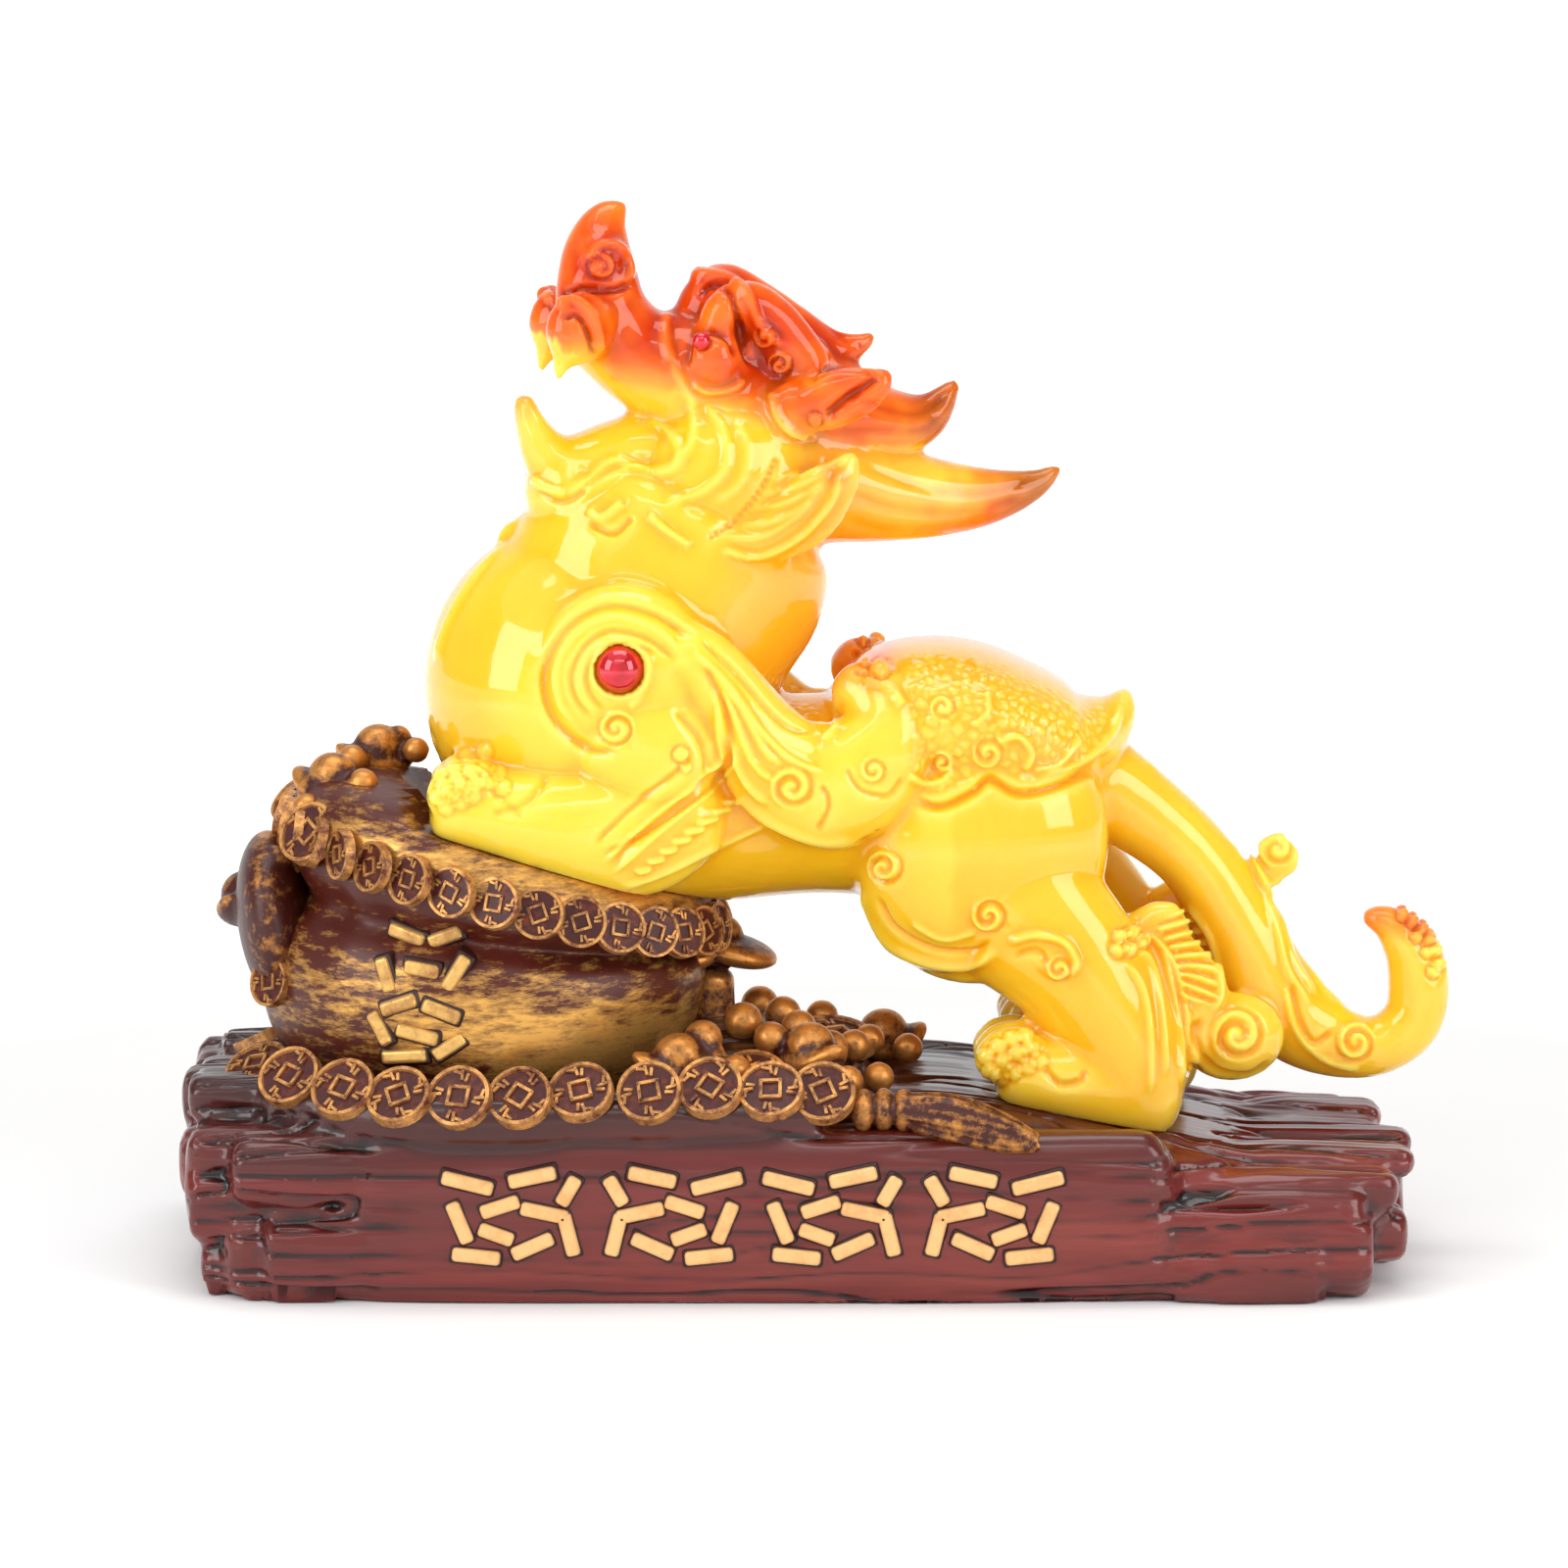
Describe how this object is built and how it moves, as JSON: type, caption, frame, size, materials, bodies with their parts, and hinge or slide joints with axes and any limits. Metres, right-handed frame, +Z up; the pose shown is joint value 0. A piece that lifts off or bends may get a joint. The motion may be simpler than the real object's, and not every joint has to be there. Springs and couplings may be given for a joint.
{
  "type": "pixiu figure",
  "caption": "Cast resin figure of a winged pixiu climbing over a treasure bowl on a split-log base, an ornament that stands by its own weight.",
  "frame": {"origin": "middle of the base's flat underside", "axes": "+Z up, the figure faces -X and its left side looks towards -Y, so +X runs to its tail"},
  "size_m": [0.3247, 0.1252, 0.2702],
  "materials": {
    "amber_resin": "polished milky amber resin, orange-red at the head's tips",
    "wood_resin": "dark red-brown painted resin, bowl and coins brushed with antique gold",
    "ruby_stone": "polished red glass cabochon"
  },
  "bodies": {
    "root": {"pixiu": "amber_resin", "treasure_base": "wood_resin", "shoulder_stone_left": "ruby_stone", "shoulder_stone_right": "ruby_stone", "eye_stone_left": "ruby_stone", "eye_stone_right": "ruby_stone"}
  },
  "joints": []
}
